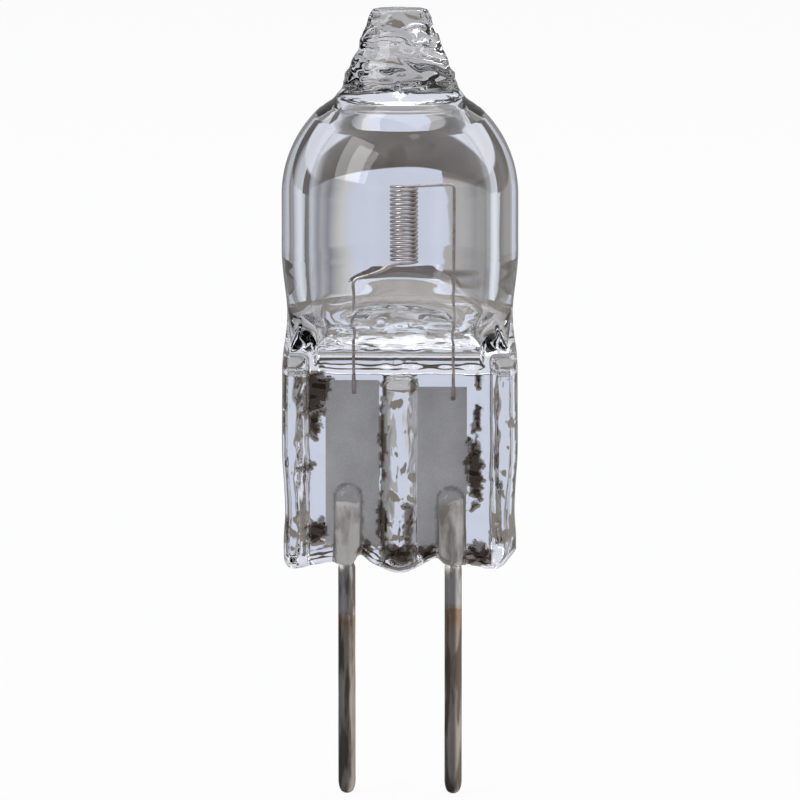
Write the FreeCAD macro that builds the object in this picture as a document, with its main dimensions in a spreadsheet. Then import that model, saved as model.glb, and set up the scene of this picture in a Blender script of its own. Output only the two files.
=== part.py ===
"""Halogen capsule bulb on a bi-pin cap, in millimetres.

+Z runs up the lamp to its sealed-off tip, and X across the broad faces of the pressed seal. The origin
is the lowest point of the glass, midway between the two pins: the plane that seats on a lampholder.
"""
import FreeCAD, Part
import math
import os
import re
import Sketcher

Vector = FreeCAD.Vector

SIZES = {
    # The two contact pins
    "pin_spacing": 4.0,
    "pin_diameter": 0.65,
    "pin_reach": 8.4,
    "nose_length": 0.5,
    "nose_flat": 0.2,
    "neck_height": 0.22,
    "neck_inset": 0.05,
    "tail_top": 2.75,
    "tail_width": 0.6,
    "tail_thickness": 0.3,
    # The bulb: barrel, dome and tip
    "barrel_diameter": 8.84,
    "wall": 1.0,
    "dome_centre": 14.25,
    "tip_foot_diameter": 4.9,
    "tip_collar_diameter": 4.08,
    "tip_collar_low": 18.55,
    "tip_collar_high": 18.72,
    "tip_end_diameter": 2.1,
    "tip_end_bevel": 0.15,
    "tip_top": 21.2,
    "tip_bore_diameter": 1.3,
    "tip_bore_end_diameter": 0.4,
    "tip_bore_top": 18.4,
    # The shoulder, where the round barrel was squeezed flat
    "shoulder_top": 12.0,
    "waist_width": 8.46,
    "press_top": 7.7,
    "press_lip": 0.2,
    "cavity_floor": 8.4,
    "cavity_floor_width": 6.2,
    "cavity_floor_gap": 0.26,
    "knee_drop": 0.9,
    "knee_inset": 0.3,
    "knee_clear": 0.05,
    # The pressed seal
    "seal_width": 8.8,
    "seal_thickness": 1.7,
    "corner_lift": 0.8,
    "corner_reach": 1.8,
    "corner_bow": 0.4,
    "pin_lift": 0.4,
    "dip_lift": 0.65,
    "dip_reach": 1.45,
    "side_rib_width": 0.92,
    "side_rib_thickness": 2.9,
    "side_rib_foot": 0.35,
    "side_rib_top": 8.5,
    "centre_rib_width": 1.24,
    "centre_rib_thickness": 2.3,
    "centre_rib_foot": 0.12,
    "centre_rib_top": 7.45,
    "pin_rib_width": 1.02,
    "pin_rib_thickness": 2.4,
    "pin_rib_foot": 0.3,
    "pin_rib_top": 3.15,
    # The sealing foils
    "foil_width": 2.0,
    "foil_thickness": 0.03,
    "foil_feather": 0.3,
    "foil_bottom": 1.1,
    "foil_left_top": 7.3,
    "foil_left_shift": 0.22,
    "foil_right_top": 7.06,
    "foil_right_shift": 0.49,
    # The filament
    "wire_diameter": 0.1,
    "coil_diameter": 1.06,
    "coil_pitch": 0.159,
    "coil_turns": 18,
    "coil_centre": 0.15,
    "coil_bottom": 11.71,
    "leg_bend": 0.22,
    "leg_left_shift": 0.28,
    "leg_left_run": 0.4,
    "leg_left_drop": 0.5,
    "weld_length": 0.6,
    "weld_lead": 0.2,
    "weld_thickness": 0.07,
}

# Where the metalwork stands across the lamp: each foil and each leg of the filament lies a little to the
# side of its pin
PIN_LINES = {"left": "-pin_spacing / 2", "right": "pin_spacing / 2"}
FOIL_LINES = {"left": "foil_left_shift - pin_spacing / 2", "right": "pin_spacing / 2 - foil_right_shift"}
LEG_LINES = {"left": "leg_left_shift - pin_spacing / 2", "right": "pin_spacing / 2"}

# Stations down the shoulder, each a share of its height, a share of the squeeze, a share of the way from
# the waist's width to the width at the nearer end, and the angle from X where an oval's side meets its flat
SHOULDER_STATIONS = (
    (0.84, 0.05, 0.7, 48),
    (0.6, 0.29, 0.05, 58),
    (0.32, 0.68, 0.2, 70),
    (0.0, 1.0, 1.0, 80),
)
ROUND_JOIN = 45
# A rib's crown is bevelled by this share of its half width
RIB_BEVEL = 0.7
# The wire is drawn with this many flats
WIRE_SIDES = 4

doc = FreeCAD.newDocument("HalogenCapsule")


def fill_sheet():
    """The sheet of driving sizes, one alias a row."""
    sheet = doc.addObject("Spreadsheet::Sheet", "Sizes")
    for row, (name, size) in enumerate(SIZES.items(), 1):
        sheet.set(f"A{row}", name)
        sheet.set(f"B{row}", str(size))
        sheet.setAlias(f"B{row}", name)
    doc.recompute()
    return sheet


sheet = fill_sheet()


def bound(formula):
    """A formula in plain size names as an expression on the sheet."""
    return re.sub(r"[a-z_]+", lambda word: f"Sizes.{word[0]}" if word[0] in SIZES else word[0], str(formula))


def value(formula):
    """What a formula comes to now."""
    return float(sheet.evalExpression(bound(formula)))


def drive(item, **formulas):
    """Binds properties of an object to formulas."""
    for name, formula in formulas.items():
        item.setExpression(name, bound(formula))


def new_body(name):
    body = doc.addObject("PartDesign::Body", name)
    body.Label = name
    return body


def new_sketch(body, name, plane, lift=None):
    """A sketch on one of the body's own origin planes, raised along its normal by a formula."""
    sketch = body.newObject("Sketcher::SketchObject", name)
    side = next(item for item in body.Origin.OriginFeatures if item.Role == plane)
    sketch.AttachmentSupport = [(side, "")]
    sketch.MapMode = "FlatFace"
    if lift is not None:
        sketch.setExpression("AttachmentOffset.Base.z", bound(lift))
    return sketch


def draw_outline(sketch, corners):
    """A closed outline, counter-clockwise. A corner is (across, up), and the side that leaves it is
    straight. A third formula makes that side an arc of this radius, bowed outwards."""
    points = [Vector(value(corner[0]), value(corner[1]), 0) for corner in corners]
    for index, corner in enumerate(corners):
        start = points[index]
        end = points[(index + 1) % len(points)]
        if len(corner) == 2:
            sketch.addGeometry(Part.LineSegment(start, end))
            continue
        radius = value(corner[2])
        chord = end - start
        rise = radius - math.sqrt(radius**2 - chord.Length**2 / 4)
        outwards = Vector(chord.y, -chord.x, 0).normalize()
        sketch.addGeometry(Part.Arc(start, (start + end) / 2 + outwards * rise, end))
    for side, corner in enumerate(corners):
        before = (side - 1) % len(corners)
        sketch.addConstraint(Sketcher.Constraint("Coincident", before, 2, side, 1))
        for kind, axis, formula in (("DistanceX", -2, corner[0]), ("DistanceY", -1, corner[1])):
            if formula == "0":
                sketch.addConstraint(Sketcher.Constraint("PointOnObject", side, 1, axis))
                continue
            rule = sketch.addConstraint(Sketcher.Constraint(kind, -1, 1, side, 1, value(formula)))
            sketch.setExpression(f"Constraints[{rule}]", bound(formula))
        if len(corner) > 2:
            rule = sketch.addConstraint(Sketcher.Constraint("Radius", side, value(corner[2])))
            sketch.setExpression(f"Constraints[{rule}]", bound(corner[2]))


def draw_flat_oval(sketch, half_width, half_thickness, join):
    """A four-arc oval, wide along X. join is the angle from X, in degrees, where its arcs meet."""
    slope = math.tan(math.radians(join))
    reach = 1 / math.cos(math.radians(join))
    keep = reach - slope
    side_radius = f"(({half_thickness}) - ({half_width}) * {keep}) / {1 - keep}"
    flat_radius = f"({half_thickness}) + (({half_width}) - {side_radius}) * {slope}"
    across = f"(({half_width}) - {side_radius} + {side_radius} * {1 / reach})"
    up = f"({side_radius} * {slope / reach})"
    draw_outline(sketch, (
        (across, f"-{up}", side_radius),
        (across, up, flat_radius),
        (f"-{across}", up, side_radius),
        (f"-{across}", f"-{up}", flat_radius),
    ))


def draw_upright_oval(sketch, centre, width, thickness):
    """A rib's section about a centre on X: flat flanks along Y, and round front and back."""
    radius = f"({width}) / 2"
    flank = f"(({thickness}) - ({width})) / 2"
    draw_outline(sketch, (
        (f"({centre}) + {radius}", f"-{flank}"),
        (f"({centre}) + {radius}", flank, radius),
        (centre, f"({thickness}) / 2", radius),
        (f"({centre}) - {radius}", flank),
        (f"({centre}) - {radius}", f"-{flank}", radius),
        (centre, f"-({thickness}) / 2", radius),
    ))


def add_turned(body, sketch, name):
    """The sketch turned round the lamp's axis."""
    turned = body.newObject("PartDesign::Revolution", name)
    turned.Profile = sketch
    turned.ReferenceAxis = (sketch, ["V_Axis"])
    turned.Angle = 360


def add_shoulder(body):
    """A loft from the round barrel down to the flat top of the seal, through stations between them."""
    radius = "(barrel_diameter / 2)"
    sections = [new_sketch(body, "shoulder_round", "XY_Plane", "shoulder_top")]
    draw_flat_oval(sections[0], radius, radius, ROUND_JOIN)
    for height, squeeze, spread, join in SHOULDER_STATIONS:
        level = f"press_top + (shoulder_top - press_top) * {height}"
        section = new_sketch(body, "shoulder_station", "XY_Plane", level)
        nearer = radius if height > 0.5 else "seal_width / 2"
        half_width = f"waist_width / 2 + ({nearer} - waist_width / 2) * {spread}"
        half_thickness = f"{radius} - ({radius} - seal_thickness / 2 - press_lip) * {squeeze}"
        draw_flat_oval(section, half_width, half_thickness, join)
        sections.append(section)
    loft = body.newObject("PartDesign::AdditiveLoft", "shoulder")
    loft.Profile = sections[0]
    loft.Sections = sections[1:]


def make_bulb():
    """The blown bulb with no hollow: barrel, dome, tip and squeezed shoulder."""
    body = new_body("bulb_outside")
    profile = new_sketch(body, "bulb_profile", "XZ_Plane")
    tip_foot = "dome_centre + sqrt((barrel_diameter / 2)^2 - (tip_foot_diameter / 2)^2)"
    draw_outline(profile, (
        ("0", "shoulder_top"),
        ("barrel_diameter / 2", "shoulder_top"),
        ("barrel_diameter / 2", "dome_centre", "barrel_diameter / 2"),
        ("tip_foot_diameter / 2", tip_foot),
        ("tip_collar_diameter / 2", "tip_collar_low"),
        ("tip_collar_diameter / 2", "tip_collar_high"),
        ("tip_end_diameter / 2", "tip_top - tip_end_bevel"),
        ("tip_end_diameter / 2 - tip_end_bevel", "tip_top"),
        ("0", "tip_top"),
    ))
    add_turned(body, profile, "bulb_turned")
    add_shoulder(body)
    return body


def make_hollow():
    """The sealed space inside the bulb: round, up into the closed bore of the tip, and pinched from both
    sides down to a slit above the pressed seal."""
    turned_body = new_body("hollow_turned_body")
    profile = new_sketch(turned_body, "hollow_profile", "XZ_Plane")
    radius = "(barrel_diameter / 2 - wall)"
    bore_foot = f"dome_centre + sqrt({radius}^2 - (tip_bore_diameter / 2)^2)"
    draw_outline(profile, (
        ("0", "cavity_floor"),
        ("cavity_floor_width / 2", "cavity_floor"),
        (radius, "shoulder_top"),
        (radius, "dome_centre", radius),
        ("tip_bore_diameter / 2", bore_foot),
        ("tip_bore_end_diameter / 2", "tip_bore_top"),
        ("0", "tip_bore_top"),
    ))
    add_turned(turned_body, profile, "hollow_turned")

    pinched_body = new_body("hollow_pinched_body")
    flanks = new_sketch(pinched_body, "hollow_flanks", "YZ_Plane")
    outermost = "(barrel_diameter / 2)"
    knee_in = f"({radius} - knee_inset)"
    top_out = f"({radius} + knee_clear)"
    step = "(knee_inset + knee_clear)"
    bend = f"({step}^2 + knee_drop^2) / (2 * {step})"
    draw_outline(flanks, (
        ("-cavity_floor_gap / 2", "cavity_floor"),
        ("cavity_floor_gap / 2", "cavity_floor"),
        (knee_in, "shoulder_top - knee_drop", bend),
        (top_out, "shoulder_top"),
        (outermost, "shoulder_top"),
        (outermost, "tip_top"),
        (f"-{outermost}", "tip_top"),
        (f"-{outermost}", "shoulder_top"),
        (f"-{top_out}", "shoulder_top", bend),
        (f"-{knee_in}", "shoulder_top - knee_drop"),
    ))
    pinched = pinched_body.newObject("PartDesign::Pad", "hollow_pinched")
    pinched.Profile = flanks
    pinched.SideType = "Symmetric"
    drive(pinched, Length="barrel_diameter")

    hollow = doc.addObject("Part::MultiCommon", "hollow")
    hollow.Shapes = [turned_body, pinched_body]
    return hollow


def make_plate():
    """The pressed seal's flat plate, with the wavy foot that flows out of the press."""
    body = new_body("seal_plate")
    front = new_sketch(body, "plate_front", "XZ_Plane")
    lobe = "(dip_reach^2 + dip_lift^2) / (2 * dip_lift)"
    half_chord_squared = "((corner_reach^2 + (corner_lift - pin_lift)^2) / 4)"
    corner = f"({half_chord_squared} + corner_bow^2) / (2 * corner_bow)"
    draw_outline(front, (
        ("-dip_reach", "dip_lift", lobe),
        ("dip_reach", "dip_lift"),
        ("seal_width / 2 - corner_reach", "pin_lift", corner),
        ("seal_width / 2", "corner_lift"),
        ("seal_width / 2", "press_top + press_lip"),
        ("-seal_width / 2", "press_top + press_lip"),
        ("-seal_width / 2", "corner_lift", corner),
        ("-(seal_width / 2 - corner_reach)", "pin_lift"),
    ))
    plate = body.newObject("PartDesign::Pad", "plate_pad")
    plate.Profile = front
    plate.SideType = "Symmetric"
    drive(plate, Length="seal_thickness")
    return body


def make_rib(name, centre, kind):
    """An upright rib that a groove in the press jaws leaves on both faces."""
    body = new_body(name)
    section = new_sketch(body, f"{name}_section", "XY_Plane", f"{kind}_foot")
    draw_upright_oval(section, centre, f"{kind}_width", f"{kind}_thickness")
    bar = body.newObject("PartDesign::Pad", f"{name}_bar")
    bar.Profile = section
    drive(bar, Length=f"{kind}_top - {kind}_foot")
    doc.recompute()
    top = bar.Shape.BoundBox.ZMax
    crown = [
        f"Edge{number}"
        for number, edge in enumerate(bar.Shape.Edges, 1)
        if edge.BoundBox.ZMin > top - 1e-6
    ]
    bevel = body.newObject("PartDesign::Chamfer", f"{name}_crown")
    bevel.Base = (bar, crown)
    drive(bevel, Size=f"{kind}_width / 2 * {RIB_BEVEL}")
    return body


def make_pin(side):
    """A round contact pin with a bullet nose. It necks in at the glass, and its sealed end is coined flat,
    to weld to the foil."""
    name = f"pin_{side}"
    body = new_body(name)
    profile = new_sketch(body, f"{name}_profile", "XZ_Plane")
    nose_step = "(pin_diameter - nose_flat) / 2"
    nose_radius = f"(nose_length^2 + ({nose_step})^2) / (2 * {nose_step})"
    draw_outline(profile, (
        ("0", "-pin_reach"),
        ("nose_flat / 2", "-pin_reach", nose_radius),
        ("pin_diameter / 2", "nose_length - pin_reach"),
        ("pin_diameter / 2", "pin_rib_foot - neck_height"),
        ("pin_diameter / 2 - neck_inset", "pin_rib_foot"),
        ("0", "pin_rib_foot"),
    ))
    add_turned(body, profile, f"{name}_shank")
    section = new_sketch(body, f"{name}_tail_section", "XY_Plane", "pin_rib_foot")
    round_end = "tail_thickness / 2"
    flat = f"(tail_width / 2 - {round_end})"
    front = "(-foil_thickness / 2 - tail_thickness)"
    back = "(-foil_thickness / 2)"
    middle = f"({back} - {round_end})"
    draw_outline(section, (
        (flat, front, round_end),
        ("tail_width / 2", middle, round_end),
        (flat, back),
        (f"-{flat}", back, round_end),
        ("-tail_width / 2", middle, round_end),
        (f"-{flat}", front),
    ))
    tail = body.newObject("PartDesign::Pad", f"{name}_tail")
    tail.Profile = section
    drive(tail, Length="tail_top - pin_rib_foot")
    body.setExpression("Placement.Base.x", bound(PIN_LINES[side]))
    return body


def make_foil(side):
    """A sealing foil, etched to a feather edge down both sides."""
    name = f"foil_{side}"
    body = new_body(name)
    section = new_sketch(body, f"{name}_section", "XY_Plane", "foil_bottom")
    shallow = "(foil_width / 2 - foil_feather)"
    draw_outline(section, (
        (f"-{shallow}", "-foil_thickness / 2"),
        (shallow, "-foil_thickness / 2"),
        ("foil_width / 2", "0"),
        (shallow, "foil_thickness / 2"),
        (f"-{shallow}", "foil_thickness / 2"),
        ("-foil_width / 2", "0"),
    ))
    sheet_pad = body.newObject("PartDesign::Pad", f"{name}_sheet")
    sheet_pad.Profile = section
    drive(sheet_pad, Length=f"{name}_top - foil_bottom")
    body.setExpression("Placement.Base.x", bound(FOIL_LINES[side]))
    return body


def bent_path(points, bend):
    """Straight runs through the points, joined by tangent arcs of one radius."""
    edges = []
    start = points[0]
    for before, corner, after in zip(points, points[1:], points[2:]):
        arriving = (corner - before).normalize()
        leaving = (after - corner).normalize()
        turn = arriving.getAngle(leaving)
        cut = bend * math.tan(turn / 2)
        inwards = (leaving - arriving).normalize()
        first = corner - arriving * cut
        last = corner + leaving * cut
        middle = corner + inwards * bend * (1 / math.cos(turn / 2) - 1)
        edges.append(Part.LineSegment(start, first).toShape())
        edges.append(Part.Arc(first, middle, last).toShape())
        start = last
    edges.append(Part.LineSegment(start, points[-1]).toShape())
    return Part.Wire(edges)


def sweep_wire(name, spine, frenet):
    """The wire's section, of the area of the round it stands for, swept along the spine."""
    section = doc.addObject("Part::RegularPolygon", f"{name}_section")
    section.Polygon = WIRE_SIDES
    same_area = math.sqrt(2 * math.pi / (WIRE_SIDES * math.sin(2 * math.pi / WIRE_SIDES)))
    drive(section, Circumradius=f"wire_diameter / 2 * {same_area}")
    section.AttachmentSupport = [(spine, "Edge1")]
    section.MapMode = "NormalToEdge"
    section.MapPathParameter = 0
    sweep = doc.addObject("Part::Sweep", name)
    sweep.Sections = [section]
    sweep.Spine = (spine, [])
    sweep.Solid = True
    sweep.Frenet = frenet
    return sweep


def make_leg(name, points):
    """A straight-run end of the filament wire."""
    path = doc.addObject("Part::Feature", f"{name}_path")
    path.Shape = bent_path(points, value("leg_bend"))
    return sweep_wire(name, path, False)


def make_weld(side):
    """The end of the leg, squashed where it is welded to the foil's front face, from just above it."""
    weld = doc.addObject("Part::Box", f"weld_{side}")
    drive(weld, Length="wire_diameter", Width="weld_thickness", Height="weld_length + weld_lead")
    weld.setExpression("Placement.Base.x", bound(f"{LEG_LINES[side]} - wire_diameter / 2"))
    weld.setExpression("Placement.Base.y", bound("-foil_thickness / 2 - weld_thickness"))
    weld.setExpression("Placement.Base.z", bound(f"foil_{side}_top - weld_length"))
    return weld


def make_filament():
    """One tungsten wire: a close upright coil, and two legs down to the foils."""
    radius = "(coil_diameter - wire_diameter) / 2"
    spine = doc.addObject("Part::Helix", "coil_spine")
    drive(spine, Pitch="coil_pitch", Height="coil_pitch * coil_turns", Radius=radius)
    spine.Placement.Rotation = FreeCAD.Rotation(Vector(0, 0, 1), -90)
    spine.setExpression("Placement.Base.x", bound("coil_centre"))
    spine.setExpression("Placement.Base.z", bound("coil_bottom"))
    coil = sweep_wire("coil", spine, True)

    slope = Vector(2 * math.pi * value(radius), 0, value("coil_pitch")).normalize()
    top = Vector(value("coil_centre"), -value(radius), value("coil_bottom + coil_pitch * coil_turns"))
    bottom = Vector(value("coil_centre"), -value(radius), value("coil_bottom"))
    on_foil = value("-(foil_thickness + weld_thickness) / 2")
    right_x = value(LEG_LINES["right"])
    right_corner = top + slope * ((right_x - top.x) / slope.x)
    right_end = Vector(right_x, on_foil, value("foil_right_top + weld_lead / 2"))
    right_leg = make_leg("leg_right", (top, right_corner, right_end))
    left_turn = bottom - slope * value("leg_left_run")
    left_x = value(LEG_LINES["left"])
    left_corner = Vector(left_x, bottom.y, bottom.z - value("leg_left_drop"))
    left_end = Vector(left_x, on_foil, value("foil_left_top + weld_lead / 2"))
    left_leg = make_leg("leg_left", (bottom, left_turn, left_corner, left_end))
    welds = [make_weld("left"), make_weld("right")]
    filament = doc.addObject("Part::MultiFuse", "filament")
    filament.Label = "filament"
    filament.Shapes = [coil, left_leg, right_leg] + welds
    return filament


def make_glass(metalwork):
    """The quartz envelope: bulb and pressed seal in one, closed round the metalwork it holds."""
    side = "seal_width / 2 - side_rib_width / 2"
    ribs = [
        make_rib("side_rib_left", f"-({side})", "side_rib"),
        make_rib("side_rib_right", side, "side_rib"),
        make_rib("centre_rib", "0", "centre_rib"),
        make_rib("pin_rib_left", PIN_LINES["left"], "pin_rib"),
        make_rib("pin_rib_right", PIN_LINES["right"], "pin_rib"),
    ]
    outside = doc.addObject("Part::MultiFuse", "glass_outside")
    outside.Shapes = [make_bulb(), make_plate()] + ribs
    blown = doc.addObject("Part::Cut", "glass_blown")
    blown.Base = outside
    blown.Tool = make_hollow()
    sealed_in = doc.addObject("Part::Compound", "sealed_in")
    sealed_in.Links = metalwork
    glass = doc.addObject("Part::Cut", "glass_envelope")
    glass.Label = "glass_envelope"
    glass.Base = blown
    glass.Tool = sealed_in
    return glass


foils = [make_foil("left"), make_foil("right")]
pins = [make_pin("left"), make_pin("right")]
filament = make_filament()
doc.recompute()
glass = make_glass(foils + pins + [filament])
doc.recompute()

for item in doc.Objects:
    faults = {"Invalid", "Error"} & set(item.State)
    if faults:
        raise RuntimeError(f"{item.Name} did not build: {item.State}")

os.makedirs("parts", exist_ok=True)
for item in foils + pins + [filament, glass]:
    shape = item.Shape
    if shape.isNull() or not shape.isValid():
        raise RuntimeError(f"{item.Label} has no sound shape")
    shape.exportStep(f"parts/{item.Label}.step")
    print(item.Label, len(shape.Solids), "solid", round(shape.Volume, 4), "mm3")
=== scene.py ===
# A halogen capsule lamp, standing upright over its two pins: a clear quartz bulb, sealed flat at the foot
# round two metal foils. The sections follow the lamp as it is made: pins, foils, filament, then the glass.
# All lengths are in millimetres until a skin is made, and heights are above the face that seats the lamp.
import bmesh
import bpy
import math
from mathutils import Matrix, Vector, noise


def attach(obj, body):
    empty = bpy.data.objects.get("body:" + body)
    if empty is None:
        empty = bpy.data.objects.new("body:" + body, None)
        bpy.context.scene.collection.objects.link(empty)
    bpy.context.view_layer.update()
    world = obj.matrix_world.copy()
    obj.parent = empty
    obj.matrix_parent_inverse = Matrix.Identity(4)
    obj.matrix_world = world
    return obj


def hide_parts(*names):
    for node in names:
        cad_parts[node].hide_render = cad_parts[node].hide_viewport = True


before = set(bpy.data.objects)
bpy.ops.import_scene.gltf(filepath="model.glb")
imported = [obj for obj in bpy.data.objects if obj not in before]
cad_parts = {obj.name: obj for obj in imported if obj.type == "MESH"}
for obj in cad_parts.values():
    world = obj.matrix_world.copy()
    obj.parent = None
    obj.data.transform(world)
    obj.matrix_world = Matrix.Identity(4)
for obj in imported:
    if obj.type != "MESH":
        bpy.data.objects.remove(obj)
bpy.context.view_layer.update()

# Contact pins
# Two pins of drawn steel wire with tumbled, bullet-shaped noses. Each necks in where the glass grips it,
# and its inner end is coined to a flat tail with a domed end. The heat of sealing left a brown line at the
# glass's edge and a dull grey below. Inside the glass the metal is untarnished, and it is painted near white
# there as painted highlight.
MM = 0.001
PIN_SPACING = 4.0
PIN_RADIUS = 0.325
PIN_SIDES = 40
PIN_REACH = 8.4
NOSE_LENGTH = 0.5
NOSE_STEPS = 9
NOSE_FLAT = 0.3
SHANK_STEPS = 40
SHANK_WANDER = 0.006
NECK_RADIUS = 0.275
NECK_FOOT = 0.2
NECK_TOP = 0.34
TAIL_FOOT = 0.55
TAIL_TOP = 2.75
TAIL_DOME = 0.85
TAIL_STEPS = 12
TAIL_HALF_WIDTH = 0.3
TAIL_HALF_DEPTH = 0.15
TAIL_SET_FORWARD = -0.165
TAIL_SQUARENESS = 0.5


def uneven(x, y, z):
    """A smooth irregular value, about -1 to 1, that belongs to a place."""
    return noise.noise(Vector((x, y, z)))


def ring(centre, across, deep, sides, roundness=2.0):
    """A closed ring of points round a centre, wide along X and deep along Y."""
    points = []
    for step in range(sides):
        turn = 2 * math.pi * step / sides
        c, s = math.cos(turn), math.sin(turn)
        x = across * math.copysign(abs(c) ** (2 / roundness), c)
        y = deep * math.copysign(abs(s) ** (2 / roundness), s)
        points.append(Vector((centre[0] + x, centre[1] + y, centre[2])))
    return points


def skin(name, rings):
    """A smooth closed skin over rings of points in millimetres, capped at both ends."""
    mesh = bmesh.new()
    rows = [[mesh.verts.new(point * MM) for point in points] for points in rings]
    for low, high in zip(rows, rows[1:]):
        for here in range(len(low)):
            there = (here + 1) % len(low)
            mesh.faces.new((low[here], low[there], high[there], high[here]))
    mesh.faces.new(list(reversed(rows[0])))
    mesh.faces.new(rows[-1])
    bmesh.ops.recalc_face_normals(mesh, faces=mesh.faces)
    data = bpy.data.meshes.new(name)
    mesh.to_mesh(data)
    mesh.free()
    for face in data.polygons:
        face.use_smooth = True
    piece = bpy.data.objects.new(name, data)
    bpy.context.scene.collection.objects.link(piece)
    return piece


def new_finish(name):
    """A new material, its node tree and its shader."""
    finish = bpy.data.materials.new(name)
    finish.use_nodes = True
    tree = finish.node_tree
    return finish, tree, tree.nodes["Principled BSDF"]


def add(tree, kind, inputs=None, **settings):
    """A node with its settings and input values; an input that is a socket is linked."""
    node = tree.nodes.new(kind)
    for key, setting in settings.items():
        setattr(node, key, setting)
    for key, given in (inputs or {}).items():
        if isinstance(given, bpy.types.NodeSocket):
            tree.links.new(given, node.inputs[key])
        else:
            node.inputs[key].default_value = given
    return node


def stretched(tree, place, along_z):
    """A place whose height counts less, so that a texture on it draws out along Z."""
    return add(tree, "ShaderNodeMapping", {"Vector": place, "Scale": (1.0, 1.0, along_z)}).outputs[0]


def mottle(tree, place, scale, detail, roughness=0.5):
    """A cloudy value from 0 to 1."""
    inputs = {"Vector": place, "Scale": scale, "Detail": detail, "Roughness": roughness}
    return add(tree, "ShaderNodeTexNoise", inputs).outputs["Fac"]


def maths(tree, operation, *given):
    """One sum on values or sockets."""
    return add(tree, "ShaderNodeMath", dict(enumerate(given)), operation=operation).outputs[0]


def carried(tree, value, source, target=(0.0, 1.0), **settings):
    """A value carried over from one range to another."""
    inputs = {"Value": value, "From Min": source[0], "From Max": source[1]}
    inputs.update({"To Min": target[0], "To Max": target[1]})
    return add(tree, "ShaderNodeMapRange", inputs, **settings).outputs[0]


def ramp(tree, source, stops):
    """A colour ramp from (place, colour) stops."""
    node = add(tree, "ShaderNodeValToRGB", {"Fac": source})
    while len(node.color_ramp.elements) < len(stops):
        node.color_ramp.elements.new(0.5)
    for element, (place, colour) in zip(node.color_ramp.elements, stops):
        element.position = place
        element.color = (*colour, 1.0)
    return node.outputs["Color"]


def shaded(tree, colour, shade):
    """A colour multiplied by a shade."""
    node = add(tree, "ShaderNodeMix", data_type="RGBA", blend_type="MULTIPLY")
    node.inputs["Factor"].default_value = 1.0
    tree.links.new(colour, node.inputs["A"])
    tree.links.new(shade, node.inputs["B"])
    return node.outputs["Result"]


def make_pin_finish():
    finish, tree, shader = new_finish("pin_steel")
    place = add(tree, "ShaderNodeTexCoord").outputs["Object"]
    height = add(tree, "ShaderNodeSeparateXYZ", {0: place}).outputs["Z"]
    grain = mottle(tree, stretched(tree, place, 0.12), 3200.0, 4.0)
    blotch = mottle(tree, place, 900.0, 5.0, 0.7)
    level = maths(tree, "ADD", height, maths(tree, "MULTIPLY", blotch, 0.0022))
    # The last stop paints the part inside the glass near white, a painted highlight for the glints it shows
    # there; it is made less metallic there too, below.
    heat_tint_and_painted_highlight = ramp(tree, carried(tree, level, (-0.0069, 0.0027)), (
        (0.0, (0.44, 0.42, 0.40)),
        (0.35, (0.50, 0.47, 0.44)),
        (0.60, (0.42, 0.38, 0.34)),
        (0.67, (0.40, 0.27, 0.21)),
        (0.70, (0.55, 0.55, 0.58)),
        (0.84, (0.60, 0.61, 0.65)),
        (0.87, (0.97, 0.94, 0.88)),
    ))
    streaks = ramp(tree, grain, ((0.42, (0.36, 0.33, 0.31)), (0.54, (1.0, 1.0, 1.0))))
    tree.links.new(shaded(tree, heat_tint_and_painted_highlight, streaks), shader.inputs["Base Color"])
    tree.links.new(carried(tree, blotch, (0.0, 1.0), (0.22, 0.5)), shader.inputs["Roughness"])
    tree.links.new(carried(tree, height, (0.0003, 0.0005), (0.85, 0.15)), shader.inputs["Metallic"])
    scratches = add(tree, "ShaderNodeBump", {"Height": grain, "Strength": 0.25, "Distance": 0.00003})
    tree.links.new(scratches.outputs[0], shader.inputs["Normal"])
    return finish


pin_finish = make_pin_finish()


def make_pin(side, centre):
    """A pin from its nose up through the shank and the neck to the end of its tail."""
    rings = []

    def add_round(z, radius, sway=0.0):
        rings.append(ring((centre + sway, sway, z), radius, radius, PIN_SIDES))

    for step in range(NOSE_STEPS + 1):
        lift = step / NOSE_STEPS
        fullness = NOSE_FLAT + (1 - NOSE_FLAT) * math.sqrt(1 - (1 - lift) ** 2)
        add_round(-PIN_REACH + NOSE_LENGTH * lift, PIN_RADIUS * fullness)
    foot = -PIN_REACH + NOSE_LENGTH
    for step in range(1, SHANK_STEPS + 1):
        z = foot + (NECK_FOOT - foot) * step / SHANK_STEPS
        sway = SHANK_WANDER * math.sin(math.pi * step / SHANK_STEPS) * uneven(centre, 3.0, z * 0.5)
        add_round(z, PIN_RADIUS - abs(sway), sway)
    add_round((NECK_FOOT + NECK_TOP) / 2, (NECK_RADIUS + PIN_RADIUS) / 2)
    add_round(NECK_TOP, NECK_RADIUS)
    # The tail's rings, as (height, share of the way from round to flat, size)
    tail = [((NECK_TOP + TAIL_FOOT) / 2, 0.5, 1.0), (TAIL_FOOT, 1.0, 1.0)]
    for step in range(TAIL_STEPS):
        turn = math.pi / 2 * step / TAIL_STEPS
        tail.append((TAIL_TOP - TAIL_DOME * (1 - math.sin(turn)), 1.0, math.cos(turn)))
    for z, share, size in tail:
        across = (NECK_RADIUS + (TAIL_HALF_WIDTH - NECK_RADIUS) * share) * size
        deep = (NECK_RADIUS + (TAIL_HALF_DEPTH - NECK_RADIUS) * share) * size
        middle = (centre, TAIL_SET_FORWARD * share, z)
        rings.append(ring(middle, across, deep, PIN_SIDES, 2 + TAIL_SQUARENESS * share))
    pin = skin(f"contact_{side}", rings)
    pin.data.materials.append(pin_finish)
    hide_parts(f"pin_{side}")
    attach(pin, "root")


make_pin("left", -PIN_SPACING / 2)
make_pin("right", PIN_SPACING / 2)

# Sealing foils
# Two strips of molybdenum foil with etched feather edges, each welded to its pin. They are rolled thin
# enough to stretch with the glass, which is pressed down on them, so they look matt and faintly mottled.


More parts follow.
